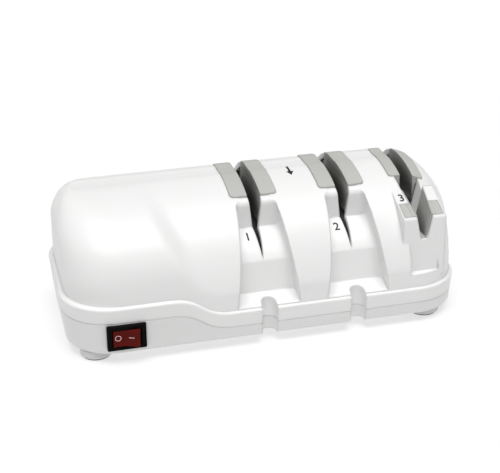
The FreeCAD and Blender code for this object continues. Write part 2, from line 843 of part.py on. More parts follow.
def foot(x, y):
    """Moulded foot with a rounded rim, a seat for its sole and one for the screw head."""
    body = cylinder_z(foot_radius, x, y, sole_thick / 2, foot_height)
    rim = [e for e in body.Edges if e.BoundBox.ZMax < sole_thick]
    body = body.makeFillet(foot_round, rim[:1])
    cuts = [cylinder_z(sole_radius + seat_gap, x, y, 0, sole_thick),
            cylinder_z(screw_head_radius + screw_gap, x, y, 0, screw_head_z + screw_head),
            cylinder_z(screw_radius + screw_gap, x, y, 0, foot_height + 1)]
    body = body.cut(cuts)
    return body


def foot_soles():
    discs = []
    for x in foot_x:
        for y in foot_y:
            disc = cylinder_z(sole_radius, x, y, 0, sole_thick)
            discs.append(disc)
    return Part.makeCompound(discs)


def housing_screws():
    """Long screws from the feet up into the posts of the upper housing."""
    screws = []
    long = screw_cross / 2
    narrow = screw_cross_width / 2
    depth = (screw_head_z - 1, screw_head_z + screw_cross_depth)
    for x in foot_x:
        for y in foot_y:
            head = cylinder_z(screw_head_radius, x, y, screw_head_z, screw_head_z + screw_head)
            shank = cylinder_z(screw_radius, x, y, screw_head_z + screw_head - 0.1, screw_top_z)
            cross = box((x - long, x + long), (y - narrow, y + narrow), depth)
            other = box((x - narrow, x + narrow), (y - long, y + long), depth)
            screws.append(head.fuse(shank).cut([cross, other]))
    return Part.makeCompound(screws)


def drive_shaft():
    """Shaft with its collar, chamfered at both ends."""
    c = shaft_chamfer
    r = shaft_radius
    return turned_x([(shaft_left_x, 0), (shaft_left_x, r - c), (shaft_left_x + c, r), (collar_x, r),
                     (collar_x, collar_radius), (collar_x + collar_width, collar_radius), (collar_x + collar_width, r),
                     (shaft_right_x - c, r), (shaft_right_x, r - c), (shaft_right_x, 0)])


def tube(radius, low, high):
    """Tube on the shaft."""
    return cylinder_x(radius, low, high).cut(cylinder_x(shaft_radius + running_gap, low - 1, high + 1))


def wheel(x, side):
    """One wheel of a pair; side is -1 to the left of the slot and 1 to the right."""
    inner = x + side * wheel_half_gap
    outer = inner + side * wheel_width
    bore = shaft_radius + running_gap
    rim = wheel_rim_radius
    dish = outer - side * wheel_dish
    land = rim - wheel_land
    return turned_x([(inner, bore), (inner, wheel_root_radius), (inner + side * wheel_bevel, rim), (outer, rim),
                     (outer, land), (dish, land - wheel_dish_slope), (dish, hub_radius), (outer, hub_radius),
                     (outer, bore)])


def shaft_nut():
    """Hexagon nut that clamps wheels and sleeves."""
    low = nut_left_x
    radius = nut_across / math.sqrt(3)
    ring = []
    for i in range(7):
        turn = math.radians(60 * i)
        ring.append(Vec(low, axis_y + radius * math.cos(turn), axis_z + radius * math.sin(turn)))
    nut = Part.Face(Part.makePolygon(ring)).extrude(Vec(nut_height, 0, 0))
    return nut.cut(cylinder_x(shaft_radius + running_gap, low - 1, low + nut_height + 1))


def bearing_block():
    """Block that carries the far end of the shaft."""
    low = floor_z
    x = (block_left_x, block_left_x + bearing_width)
    slope = bearing_half_foot - bearing_head_radius
    ring = [Vec(x[0], axis_y - bearing_half_foot, low), Vec(x[0], axis_y + bearing_half_foot, low),
            Vec(x[0], axis_y + bearing_half_foot, low + cradle_height + bearing_shoulder),
            Vec(x[0], axis_y + bearing_half_foot - slope, axis_z), Vec(x[0], axis_y - bearing_half_foot + slope, axis_z),
            Vec(x[0], axis_y - bearing_half_foot, low + cradle_height + bearing_shoulder)]
    block = Part.Face(Part.makePolygon(ring + ring[:1])).extrude(Vec(bearing_width, 0, 0))
    block = block.fuse(cylinder_x(bearing_head_radius, x[0], x[1]))
    return block.cut(cylinder_x(bush_radius + running_gap, x[0] - 1, x[1] + 1))


def shaft_bushes():
    """Plain bearings in the two motor brackets and in the bearing block."""
    bushes = []
    left_bush_x = commutator_left_x - collar_gap - bush_length
    for x in (left_bush_x, bracket_right_x - bush_inset, block_left_x):
        bushes.append(tube(bush_radius, x, x + bush_length))
    return Part.makeCompound(bushes)


def square_x(half_y, half_z, low, high, corner):
    """Rounded rectangle about the shaft axis, carried along X."""
    form = box((low, high), (axis_y - half_y, axis_y + half_y), (axis_z - half_z, axis_z + half_z))
    if corner == 0:
        return form
    return form.makeFillet(corner, [e for e in form.Edges if e.BoundBox.XLength > (high - low) / 2])


def bolt_places():
    """The two corners, one above the other, where the motor bolts run."""
    return [(axis_y - bolt_y, axis_z + bolt_z), (axis_y + bolt_y, axis_z - bolt_z)]


def pole_sector(low, high, side, inner, outer):
    """Part of a ring about the shaft, above (side 1) or below (side -1) it."""
    ring = cylinder_x(outer, low, high).cut(cylinder_x(inner, low - 1, high + 1))
    reach_z = 40.0
    half = reach_z * math.tan(math.radians(pole_angle / 2))
    points = [Vec(low - 1, axis_y, axis_z), Vec(low - 1, axis_y - half, axis_z + side * reach_z),
              Vec(low - 1, axis_y + half, axis_z + side * reach_z)]
    fan = Part.Face(Part.makePolygon(points + points[:1])).extrude(Vec(high - low + 2, 0, 0))
    return ring.common(fan)


def stator_core():
    """Laminated frame with two poles."""
    low = stack_left_x
    high = low + stack_length
    half = stator_side / 2
    frame = square_x(half, half, low, high, stator_round)
    frame = frame.cut(square_x(half - stator_side_yoke, half - stator_yoke, low - 1, high + 1, 0))
    bore = rotor_radius + rotor_gap
    poles = []
    for side in (-1, 1):
        ends = sorted((axis_z + side * (bore + pole_shoe / 2), axis_z + side * (half - stator_yoke / 2)))
        poles.append(box((low, high), (axis_y - pole_neck_half, axis_y + pole_neck_half), ends))
        poles.append(pole_sector(low, high, side, bore, bore + pole_shoe))
    holes = [cylinder_x(bore, low - 1, high + 1)]
    for y, z in bolt_places():
        holes.append(cylinder_x(bolt_radius + screw_gap, low - 1, high + 1, y, z))
    return frame.fuse(poles).cut(holes)


def field_coils():
    """Two coils, each wound round the neck of its pole."""
    low = stack_left_x - coil_overhang
    high = stack_left_x + stack_length + coil_overhang
    half_y = stator_side / 2 - stator_side_yoke - coil_gap
    top = stator_side / 2 - stator_yoke - coil_gap
    inner = rotor_radius + rotor_gap + pole_shoe + coil_gap
    coils = []
    for side in (-1, 1):
        ends = sorted((axis_z + side * coil_low, axis_z + side * top))
        coil = box((low, high), (axis_y - half_y, axis_y + half_y), ends)
        coil = coil.makeFillet(coil_round, [e for e in coil.Edges if e.BoundBox.ZLength > 5])
        neck = box((stack_left_x - coil_gap, stack_left_x + stack_length + coil_gap),
                   (axis_y - pole_neck_half - coil_gap, axis_y + pole_neck_half + coil_gap),
                   sorted((axis_z, axis_z + side * stator_side)))
        coils.append(coil.cut([neck, cylinder_x(inner, low - 1, high + 1)]))
    return Part.makeCompound(coils)


def turned_copies(shape, count):
    """Copies of a shape spaced evenly about the shaft."""
    copies = []
    for i in range(count):
        copy = shape.copy()
        copy.rotate(Vec(0, axis_y, axis_z), Vec(1, 0, 0), 360.0 * i / count)
        copies.append(copy)
    return copies


def rotor_slot(low, high, gap, root, top):
    half = rotor_slot_width / 2 - gap
    return box((low, high), (axis_y - half, axis_y + half), (axis_z + root, axis_z + top))


def rotor_core():
    """Slotted rotor laminations."""
    low = stack_left_x
    high = low + stack_length
    slot = rotor_slot(low - 1, high + 1, 0, rotor_slot_root, rotor_radius + 1)
    return tube(rotor_radius, low, high).cut(turned_copies(slot, rotor_slots))


def rotor_windings():
    """Winding bars in the slots, joined by the rings outside the core."""
    low = stack_left_x - winding_overhang
    high = stack_left_x + stack_length + winding_overhang
    top = rotor_radius - winding_drop
    bar = rotor_slot(low + 1, high - 1, winding_gap, rotor_slot_root + winding_gap, top - 0.2)
    rings = []
    for x in ((low, stack_left_x - winding_gap), (stack_left_x + stack_length + winding_gap, high)):
        ring = tube(top, x[0], x[1])
        rings.append(ring.makeFillet(winding_round, [e for e in ring.Edges if e.BoundBox.YLength > 2 * top - 1]))
    return rings[0].fuse([rings[1]] + turned_copies(bar, rotor_slots))


def commutator():
    """Copper drum with its insulating grooves and riser."""
    low = commutator_left_x
    high = low + commutator_length
    drum = tube(commutator_radius, low, high).fuse(tube(commutator_radius + riser_rise, high - riser_width, high))
    groove = box((low - 1, high - riser_width), (axis_y - bar_groove / 2, axis_y + bar_groove / 2),
                 (axis_z + commutator_radius - bar_groove_depth, axis_z + commutator_radius + 2))
    return drum.cut(turned_copies(groove, commutator_bars))


def brush_centre_x():
    return commutator_left_x + (commutator_length - riser_width) / 2


def carbon_brushes():
    """Two brushes, in front of and behind the commutator."""
    x = brush_centre_x()
    half = brush_side / 2
    brushes = []
    for side in (-1, 1):
        ends = sorted((axis_y, axis_y + side * (commutator_radius + brush_reach)))
        brush = box((x - half, x + half), ends, (axis_z - half, axis_z + half))
        brushes.append(brush.cut(cylinder_x(commutator_radius + brush_gap, x - 9, x + 9)))
    return Part.makeCompound(brushes)


def brush_holders():
    """Two boxes on the left bracket, each with a square bore for its brush."""
    x = brush_centre_x()
    half = brush_side / 2 + seat_gap
    holders = []
    for side in (-1, 1):
        ends = sorted((axis_y + side * (commutator_radius + brush_box_gap),
                       axis_y + side * (commutator_radius + brush_reach + brush_cap)))
        rise = half + brush_wall
        holder = box((bracket_left_x + bracket_plate, x + rise), ends, (axis_z - rise, axis_z + rise))
        bore = box((x - half, x + half), sorted((axis_y, axis_y + side * (commutator_radius + brush_reach))),
                   (axis_z - half, axis_z + half))
        holders.append(holder.cut(bore))
    return Part.makeCompound(holders)


def motor_bracket(low, column_low, column_high):
    """Bracket plate with its bearing boss, foot and two columns that meet the stator."""
    high = low + bracket_plate
    plate = square_x(bracket_half_y, bracket_half_z, low, high, stator_round)
    windows = []
    for side in (-1, 1):
        ends = sorted((axis_y + side * bracket_window_inner, axis_y + side * bracket_window_outer))
        windows.append(box((low - 1, high + 1), ends, (axis_z - bracket_window_half, axis_z + bracket_window_half)))
    foot_plate = box((low, high), (axis_y - bracket_foot_half, axis_y + bracket_foot_half),
                     (floor_z, axis_z - bracket_half_z + 1))
    boss = cylinder_x(bracket_boss_radius, low - bracket_boss_proud, high + bracket_boss_proud)
    plate = plate.cut(windows).fuse([foot_plate, boss])
    for y, z in bolt_places():
        plate = plate.fuse(cylinder_x(column_radius, column_low, column_high, y, z))
    holes = [cylinder_x(bush_radius + running_gap, low - 9, high + 9)]
    for y, z in bolt_places():
        holes.append(cylinder_x(bolt_radius + screw_gap, low - 40, high + 40, y, z))
    return plate.cut(holes)


def motor_bolts():
    """Two long bolts through both brackets and the stator."""
    bolts = []
    high = bracket_right_x + bracket_plate
    for y, z in bolt_places():
        head = cylinder_x(bolt_head_radius, bracket_left_x - bolt_head, bracket_left_x, y, z)
        shank = cylinder_x(bolt_radius, bracket_left_x - 0.1, high + bolt_head + bolt_tail, y, z)
        bolts.append(head.fuse(shank))
    return Part.makeCompound(bolts)


def motor_nuts():
    nuts = []
    low = bracket_right_x + bracket_plate
    for y, z in bolt_places():
        ring = []
        for i in range(7):
            turn = math.radians(60 * i)
            ring.append(Vec(low, y + bolt_head_radius * math.cos(turn), z + bolt_head_radius * math.sin(turn)))
        nut = Part.Face(Part.makePolygon(ring)).extrude(Vec(bolt_head, 0, 0))
        nuts.append(nut.cut(cylinder_x(bolt_radius + running_gap, low - 1, low + 9, y, z)))
    return Part.makeCompound(nuts)


def cooling_fan():
    """Fan with straight blades on a disc."""
    low = fan_left_x
    high = low + fan_width
    blade = box((low + fan_plate - 0.2, high), (axis_y - fan_blade_thick / 2, axis_y + fan_blade_thick / 2),
                (axis_z + hub_radius - 1, axis_z + fan_radius))
    disc = tube(fan_radius, low, low + fan_plate)
    return disc.fuse([tube(hub_radius, low, high)] + turned_copies(blade, fan_blades))


def write(name, shape):
    """Write one node as its clean solids."""
    solids = shape.removeSplitter().Solids
    whole = solids[0] if len(solids) == 1 else Part.makeCompound(solids)
    whole.exportStep("parts/" + name + ".step")
    bad = [s for s in solids if not s.isValid()]
    size = whole.BoundBox
    print("%-24s solids %d invalid %d volume %9.0f  x %.1f %.1f  y %.1f %.1f  z %.1f %.1f" % (
        name, len(solids), len(bad), whole.Volume, size.XMin, size.XMax, size.YMin, size.YMax,
        size.ZMin, size.ZMax))


def write_housings():
    write("upper_housing", upper_housing())
    write("base_housing", base_housing())
    for number, x in enumerate(stage_x, 1):
        names = ("guide_%d_left" % number, "guide_%d_right" % number)
        lining_cheeks(x, lining_half, lining_front_y, lining_rear_y, slot_half_top, slot_wedge(x, 0), names)
    lining_cheeks(hone_x, hone_lining_half, hone_lining_front_y, hone_lining_rear_y, hone_half_top,
                  hone_slot(), ("guide_3_left", "guide_3_right"))
    write("finishing_insert", finishing_insert())
    write("rod_holder", rod_holder())
    write("ceramic_rods", ceramic_rods(0))


def write_drive_line():
    write("drive_shaft", drive_shaft())
    for name, x in zip(("coarse_wheel", "fine_wheel"), stage_x):
        write(name + "_left", wheel(x, -1))
        write(name + "_right", wheel(x, 1))
    write("sleeve_left", tube(sleeve_radius, collar_x + collar_width, stage_x[0] - wheel_reach))
    write("sleeve_middle", tube(sleeve_radius, stage_x[0] + wheel_reach, stage_x[1] - wheel_reach))
    write("shaft_washer", tube(hub_radius, stage_x[1] + wheel_reach, nut_left_x))
    write("shaft_nut", shaft_nut())
    write("bearing_block", bearing_block())
    write("shaft_bushes", shaft_bushes())


def write_motor():
    write("stator_core", stator_core())
    write("field_coils", field_coils())
    write("rotor_core", rotor_core())
    write("rotor_windings", rotor_windings())
    write("commutator", commutator())
    write("carbon_brushes", carbon_brushes())
    write("brush_holders", brush_holders())
    write("motor_bracket_left", motor_bracket(bracket_left_x, bracket_left_x, stack_left_x))
    write("motor_bracket_right", motor_bracket(bracket_right_x, stack_right_x, bracket_right_x + 1))
    write("motor_bolts", motor_bolts())
    write("motor_nuts", motor_nuts())
    write("cooling_fan", cooling_fan())


def write_fittings():
    write("switch_body", switch_body())
    write("switch_rocker", switch_rocker())
    write("switch_terminals", switch_terminals())
    write("cord_gland", gland_form(0))
    for side, x in zip(("left", "right"), foot_x):
        for end, y in zip(("front", "rear"), foot_y):
            write("foot_%s_%s" % (end, side), foot(x, y))
    write("foot_soles", foot_soles())
    write("housing_screws", housing_screws())


def main():
    os.makedirs("parts", exist_ok=True)
    write_housings()
    write_drive_line()
    write_motor()
    write_fittings()


main()
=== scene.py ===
import bpy
import bmesh
import json
import math
from mathutils import Matrix, Vector
from mathutils.bvhtree import BVHTree


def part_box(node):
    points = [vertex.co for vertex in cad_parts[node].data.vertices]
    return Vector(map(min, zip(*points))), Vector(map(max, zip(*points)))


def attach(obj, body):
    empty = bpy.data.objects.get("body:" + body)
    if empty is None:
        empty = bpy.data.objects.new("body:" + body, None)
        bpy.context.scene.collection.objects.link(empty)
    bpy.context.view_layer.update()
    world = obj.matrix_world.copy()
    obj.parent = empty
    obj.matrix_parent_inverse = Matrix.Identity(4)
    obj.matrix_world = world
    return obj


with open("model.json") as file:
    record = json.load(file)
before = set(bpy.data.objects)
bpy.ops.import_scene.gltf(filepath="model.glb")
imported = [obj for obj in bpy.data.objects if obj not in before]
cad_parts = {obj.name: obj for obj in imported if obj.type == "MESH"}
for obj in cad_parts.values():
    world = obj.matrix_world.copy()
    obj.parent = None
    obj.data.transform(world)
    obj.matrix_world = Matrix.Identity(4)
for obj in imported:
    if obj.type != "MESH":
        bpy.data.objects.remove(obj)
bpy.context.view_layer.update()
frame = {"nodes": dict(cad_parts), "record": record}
nodes = frame["nodes"]
mm = 0.001
edgeSamples = 6
shadeSamples = 12
cloudDetail = 2.0
grainDetail = 4.0
grainRough = 0.6
ringDetail = 2.0
print("frame loaded:", len(nodes), "nodes")


# materials

def startMaterial(name, base, roughness, metallic=0.0):
    material = bpy.data.materials.new(name)
    material.use_nodes = True
    shader = material.node_tree.nodes["Principled BSDF"]
    shader.inputs["Base Color"].default_value = (*base, 1.0)
    shader.inputs["Roughness"].default_value = roughness
    shader.inputs["Metallic"].default_value = metallic
    return material, material.node_tree, shader


def objectCoordinates(tree):
    return tree.nodes.new("ShaderNodeTexCoord").outputs["Object"]


def noise(tree, vector, scale, detail=3.0, rough=0.5):
    node = tree.nodes.new("ShaderNodeTexNoise")
    node.inputs["Scale"].default_value = scale
    node.inputs["Detail"].default_value = detail
    node.inputs["Roughness"].default_value = rough
    tree.links.new(vector, node.inputs["Vector"])
    return node.outputs["Fac"]


def spread(tree, value, low, high, start=0.3, end=0.7):
    # carries a pattern from start..end to low..high
    node = tree.nodes.new("ShaderNodeMapRange")
    node.inputs["From Min"].default_value = start
    node.inputs["From Max"].default_value = end
    node.inputs["To Min"].default_value = low
    node.inputs["To Max"].default_value = high
    tree.links.new(value, node.inputs["Value"])
    return node.outputs["Result"]


def twoColours(tree, value, first, second):
    node = tree.nodes.new("ShaderNodeMix")
    node.data_type = "RGBA"
    node.inputs["A"].default_value = (*first, 1.0)
    node.inputs["B"].default_value = (*second, 1.0)
    tree.links.new(value, node.inputs["Factor"])
    return node.outputs["Result"]


def bump(tree, height, distance, strength=1.0, normal=None):
    node = tree.nodes.new("ShaderNodeBump")
    node.inputs["Distance"].default_value = distance
    node.inputs["Strength"].default_value = strength
    tree.links.new(height, node.inputs["Height"])
    if normal is not None:
        tree.links.new(normal, node.inputs["Normal"])
    return node.outputs["Normal"]


def softEdges(tree, radius):
    # shades the sharp moulded edges as small rounds
    node = tree.nodes.new("ShaderNodeBevel")
    node.samples = edgeSamples
    node.inputs["Radius"].default_value = radius
    return node.outputs["Normal"]


def paintHollowShade(tree, colour, look):
    # painted shade: little light reaches inside deep slots, so ambient occlusion sinks the colour
    # towards black there
    shade = tree.nodes.new("ShaderNodeAmbientOcclusion")
    shade.samples = shadeSamples
    shade.inputs["Distance"].default_value = look["shadeReach"]
    depth = spread(tree, shade.outputs["AO"], 0.0, 1.0, look["shadeFrom"], look["shadeTo"])
    node = tree.nodes.new("ShaderNodeMix")
    node.data_type = "RGBA"
    node.inputs["A"].default_value = (*look["paintedShadeColour"], 1.0)
    tree.links.new(colour, node.inputs["B"])
    tree.links.new(depth, node.inputs["Factor"])
    return node.outputs["Result"]


def mouldedPlastic(name, look):
    # injection moulded: broad cloudiness, fine skin, small rounds on the edges
    material, tree, shader = startMaterial(name, look["colour"], look["roughness"])
    vector = objectCoordinates(tree)
    broad = noise(tree, vector, look["cloudScale"], cloudDetail)
    fine = noise(tree, vector, look["grainScale"], grainDetail, grainRough)
    colour = twoColours(tree, spread(tree, broad, 0.0, 1.0), look["colour"], look["second"])
    rough = spread(tree, fine, look["roughness"] - look["roughVary"],
                   look["roughness"] + look["roughVary"])
    rounded = softEdges(tree, look["edge"])
    normal = bump(tree, fine, look["grainDepth"], look["grainStrength"], rounded)
    # painted shade inside deep slots, where the look asks for it
    if "shadeReach" in look:
        colour = paintHollowShade(tree, colour, look)
    tree.links.new(colour, shader.inputs["Base Color"])
    tree.links.new(rough, shader.inputs["Roughness"])
    tree.links.new(normal, shader.inputs["Normal"])
    shader.inputs["IOR"].default_value = look["ior"]
    if "shine" in look:
        shader.inputs["Specular IOR Level"].default_value = look["shine"]
    if "glow" in look:
        shader.inputs["Subsurface Weight"].default_value = look["glow"]
        shader.inputs["Subsurface Radius"].default_value = look["glowReach"]
        shader.inputs["Subsurface Scale"].default_value = mm
    return material


def turnedMetal(name, look):
    # lathe rings about the shaft, with a little stain
    material, tree, shader = startMaterial(name, look["colour"], look["roughness"], 1.0)
    vector = objectCoordinates(tree)
    rings = tree.nodes.new("ShaderNodeTexWave")
    rings.wave_type = "BANDS"
    rings.bands_direction = look["along"]
    rings.inputs["Scale"].default_value = look["ringScale"]
    rings.inputs["Distortion"].default_value = look["waver"]
    rings.inputs["Detail"].default_value = ringDetail
    tree.links.new(vector, rings.inputs["Vector"])
    stain = noise(tree, vector, look["stainScale"])
    colour = twoColours(tree, spread(tree, stain, 0.0, 1.0), look["colour"], look["second"])
    rough = spread(tree, stain, look["roughness"], look["roughness"] + look["roughVary"])
    tree.links.new(colour, shader.inputs["Base Color"])
    tree.links.new(rough, shader.inputs["Roughness"])
    normal = bump(tree, rings.outputs["Fac"], look["ringDepth"])
    tree.links.new(normal, shader.inputs["Normal"])
    return material


def abrasiveGrit(name, look):
    # grains bonded to steel: cells for the grains, sparkle where they are cut
    material, tree, shader = startMaterial(name, look["colour"], look["roughness"], look["metal"])
    vector = objectCoordinates(tree)
    grains = tree.nodes.new("ShaderNodeTexVoronoi")
    grains.inputs["Scale"].default_value = look["grainScale"]
    tree.links.new(vector, grains.inputs["Vector"])
    distance = grains.outputs["Distance"]
    pale = spread(tree, distance, 0.0, 1.0, 0.0, look["paleEnd"])
    colour = twoColours(tree, pale, look["colour"], look["second"])
    rough = spread(tree, distance, *look["roughRange"], 0.0, look["roughEnd"])
    tree.links.new(colour, shader.inputs["Base Color"])
    tree.links.new(rough, shader.inputs["Roughness"])
    tree.links.new(bump(tree, distance, look["grainDepth"]), shader.inputs["Normal"])
    return material


def woundWire(name, look):
    # turns of enamelled wire lying side by side
    material, tree, shader = startMaterial(name, look["colour"], look["roughness"], look["metal"])
    vector = objectCoordinates(tree)
    turns = tree.nodes.new("ShaderNodeTexWave")
    turns.wave_type = "BANDS"
    turns.bands_direction = "Z"
    turns.inputs["Scale"].default_value = look["wireScale"]
    turns.inputs["Distortion"].default_value = look["waver"]
    tree.links.new(vector, turns.inputs["Vector"])
    colour = twoColours(tree, turns.outputs["Fac"], look["second"], look["colour"])
    tree.links.new(colour, shader.inputs["Base Color"])
    tree.links.new(bump(tree, turns.outputs["Fac"], look["wireDepth"]), shader.inputs["Normal"])
    return material


whiteShell = {"colour": (0.800, 0.800, 0.795), "second": (0.815, 0.815, 0.812),
              "roughness": 0.36, "roughVary": 0.05, "cloudScale": 14.0, "grainScale": 2600.0,
              "grainDepth": 0.00002, "grainStrength": 0.35, "edge": 0.0016, "ior": 1.46,
              "glow": 0.12, "glowReach": (1.6, 1.4, 1.2)}
whiteBase = dict(whiteShell, colour=(0.740, 0.740, 0.737), second=(0.755, 0.755, 0.752))
# painted shade: the feet get a darker copy of the white plastic, for the shade under the body
footWhiteWithPaintedShade = dict(whiteShell, colour=(0.64, 0.64, 0.638), second=(0.66, 0.66, 0.658))
# grey linings: ambient occlusion within shadeReach paints shade on them, darkening them towards
# near black inside slots
greyLining = {"colour": (0.462, 0.467, 0.443), "second": (0.480, 0.485, 0.461),
              "roughness": 0.55, "roughVary": 0.08, "cloudScale": 40.0, "grainScale": 3800.0,
              "grainDepth": 0.00005, "grainStrength": 0.6, "edge": 0.0009, "ior": 1.46,
              "shadeReach": 0.03, "shadeFrom": 0.11, "shadeTo": 0.42,
              "paintedShadeColour": (0.006, 0.006, 0.006)}
# the V's lining: the same grey with a lighter painted shade
veeGrey = dict(greyLining, shadeFrom=0.06, shadeTo=0.34)
blackCase = {"colour": (0.004, 0.003, 0.003), "second": (0.006, 0.005, 0.005),
             "roughness": 0.28, "roughVary": 0.06, "cloudScale": 60.0, "grainScale": 3000.0,
             "grainDepth": 0.00002, "grainStrength": 0.3, "edge": 0.0003, "ior": 1.5,
             "shine": 0.02}
redButton = {"colour": (0.100, 0.008, 0.006), "second": (0.115, 0.010, 0.008),
             "roughness": 0.26, "roughVary": 0.04, "cloudScale": 90.0, "grainScale": 2200.0,
             "grainDepth": 0.00001, "grainStrength": 0.3, "edge": 0.0003, "ior": 1.5,
             "shine": 0.03, "glow": 0.25, "glowReach": (2.5, 0.3, 0.3)}
darkPlastic = {"colour": (0.035, 0.035, 0.038), "second": (0.05, 0.05, 0.052),
               "roughness": 0.5, "roughVary": 0.1, "cloudScale": 60.0, "grainScale": 2400.0,
               "grainDepth": 0.00004, "grainStrength": 0.5, "edge": 0.0003, "ior": 1.46}
soleRubber = {"colour": (0.028, 0.028, 0.028), "second": (0.045, 0.044, 0.043),
              "roughness": 0.8, "roughVary": 0.1, "cloudScale": 120.0, "grainScale": 2500.0,
              "grainDepth": 0.00008, "grainStrength": 0.8, "edge": 0.0003, "ior": 1.5}
ceramicRod = {"colour": (0.74, 0.73, 0.69), "second": (0.80, 0.79, 0.76),
              "roughness": 0.62, "roughVary": 0.08, "cloudScale": 200.0, "grainScale": 4200.0,
              "grainDepth": 0.00004, "grainStrength": 0.7, "edge": 0.0002, "ior": 1.6}
carbonBlock = dict(darkPlastic, colour=(0.02, 0.02, 0.022), second=(0.035, 0.035, 0.036),
                   roughness=0.6)
steelTurned = {"colour": (0.56, 0.56, 0.57), "second": (0.47, 0.46, 0.45),
               "roughness": 0.28, "roughVary": 0.14, "along": "X", "ringScale": 900.0,
               "waver": 0.6, "ringDepth": 0.00001, "stainScale": 160.0}
zincPlated = dict(steelTurned, colour=(0.64, 0.62, 0.52), second=(0.55, 0.54, 0.50),
                  along="Z", ringScale=500.0)
sheetPack = dict(steelTurned, colour=(0.30, 0.30, 0.32), second=(0.20, 0.19, 0.19),
                 ringScale=320.0, waver=0.0, ringDepth=0.00012)
copperBar = dict(steelTurned, colour=(0.78, 0.40, 0.24), second=(0.60, 0.28, 0.16),
                 stainScale=260.0)
brassBlade = dict(steelTurned, colour=(0.75, 0.60, 0.30), second=(0.66, 0.50, 0.24), along="Y")
sinteredBush = dict(steelTurned, colour=(0.50, 0.36, 0.20), second=(0.38, 0.27, 0.15),
                    ringScale=1200.0)
coarseGrit = {"colour": (0.11, 0.11, 0.12), "second": (0.40, 0.40, 0.42), "roughness": 0.6,
              "metal": 0.6, "grainScale": 2600.0, "grainDepth": 0.00018, "paleEnd": 0.8,
              "roughRange": (0.35, 0.8), "roughEnd": 0.9}
fineGrit = dict(coarseGrit, colour=(0.18, 0.18, 0.19), second=(0.46, 0.46, 0.47),
                grainScale=5200.0, grainDepth=0.00008)
enamelWire = {"colour": (0.62, 0.24, 0.09), "second": (0.22, 0.07, 0.03), "roughness": 0.3,
              "metal": 0.7, "wireScale": 420.0, "waver": 1.2, "wireDepth": 0.0003}

finishes = {
    "housing": mouldedPlastic("whiteShell", whiteShell),
    "base": mouldedPlastic("whiteBase", whiteBase),
    "foot": mouldedPlastic("footWhiteWithPaintedShade", footWhiteWithPaintedShade),
    "lining": mouldedPlastic("greyLining", greyLining),
    "vee": mouldedPlastic("veeGrey", veeGrey),
    "switch_case": mouldedPlastic("blackCase", blackCase),
    "switch_button": mouldedPlastic("redButton", redButton),
    "insert_plastic": mouldedPlastic("darkPlastic", darkPlastic),
    "sole": mouldedPlastic("soleRubber", soleRubber),
    "ceramic": mouldedPlastic("ceramicRod", ceramicRod),
    "carbon": mouldedPlastic("carbonBlock", carbonBlock),
    "steel": turnedMetal("steelTurned", steelTurned),
    "zinc": turnedMetal("zincPlated", zincPlated),
    "laminations": turnedMetal("sheetPack", sheetPack),
    "contact": turnedMetal("copperBar", copperBar),
    "terminal": turnedMetal("brassBlade", brassBlade),
    "bearing": turnedMetal("sinteredBush", sinteredBush),
    "abrasive": abrasiveGrit("coarseGrit", coarseGrit),
    "abrasive_fine": abrasiveGrit("fineGrit", fineGrit),
    "winding": woundWire("enamelWire", enamelWire),
}


def dressNodes():
    for part in frame["record"]["subparts"]:
        piece = nodes[part["node"]]
        for slot in piece.material_slots:
            slot.material = finishes[part["material_slot"]]


dressNodes()


# grey lining of the finishing V

veeLining = {"middle": 0.0874, "halfLow": 0.00185, "halfHigh": 0.0051,
             "low": 0.0486, "high": 0.064, "rise": 0.008, "thick": 0.0005,
             "front": -0.0426, "rear": -0.0236,
             "crestPlace": (0.0874, -0.044, 0.0622), "crestSlope": 0.41}


def makeVeeLining():
    # a folded sheet along both walls and the floor of the V, cut level with the block
    look = veeLining
    lean = (look["halfHigh"] - look["halfLow"]) / (look["high"] - look["low"])
    top = look["high"] + look["rise"]
    wide = look["halfHigh"] + lean * look["rise"]
    form = bmesh.new()
    corners = [(-wide, top), (-look["halfLow"], look["low"]),
               (look["halfLow"], look["low"]), (wide, top)]
    line = [form.verts.new((look["middle"] + x, look["front"], z)) for x, z in corners]
    for first, second in zip(line, line[1:]):
        form.edges.new((first, second))
    swept = bmesh.ops.extrude_edge_only(form, edges=form.edges)
    moved = [g for g in swept["geom"] if isinstance(g, bmesh.types.BMVert)]
    bmesh.ops.translate(form, verts=moved, vec=(0.0, look["rear"] - look["front"], 0.0))
    everything = form.verts[:] + form.edges[:] + form.faces[:]
    bmesh.ops.bisect_plane(form, geom=everything, plane_co=look["crestPlace"],
                           plane_no=(0.0, -look["crestSlope"], 1.0), clear_outer=True)
    bmesh.ops.recalc_face_normals(form, faces=form.faces)
    if sum(f.normal.z for f in form.faces) < 0:
        bmesh.ops.reverse_faces(form, faces=form.faces)
    bmesh.ops.solidify(form, geom=form.faces, thickness=-look["thick"])
    bmesh.ops.recalc_face_normals(form, faces=form.faces)
    mesh = bpy.data.meshes.new("veeLining")
    form.to_mesh(mesh)
    form.free()
    piece = bpy.data.objects.new("veeLining", mesh)
    bpy.context.collection.objects.link(piece)
    mesh.materials.append(finishes["vee"])
    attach(piece, "body")


makeVeeLining()
print("V lining folded")


# printed marks

inkSkin = {"speckScale": 3000.0, "gain": 1.5, "lift": 0.01, "depth": 0.00001, "strength": 0.4}


def printedInk(name, colour, roughness):
    # thin ink with lighter specks
    material, tree, shader = startMaterial(name, colour, roughness)
    speck = noise(tree, objectCoordinates(tree), inkSkin["speckScale"])
    lighter = tuple(min(1.0, c * inkSkin["gain"] + inkSkin["lift"]) for c in colour)
    mixed = twoColours(tree, spread(tree, speck, 0.0, 1.0), colour, lighter)
    skin = bump(tree, speck, inkSkin["depth"], inkSkin["strength"])
    tree.links.new(mixed, shader.inputs["Base Color"])
    tree.links.new(skin, shader.inputs["Normal"])
    return material


capShare = 0.72
curveSteps = 6
weldReach = 0.00001
facetCuts = 2
searchReaches = 3


def surfaceTree(nodeName):
    # search tree of a node's own surface, for laying marks on it
    piece = nodes[nodeName]
    corners = [v.co.copy() for v in piece.data.vertices]
    faces = [tuple(p.vertices) for p in piece.data.polygons]
    return BVHTree.FromPolygons(corners, faces)


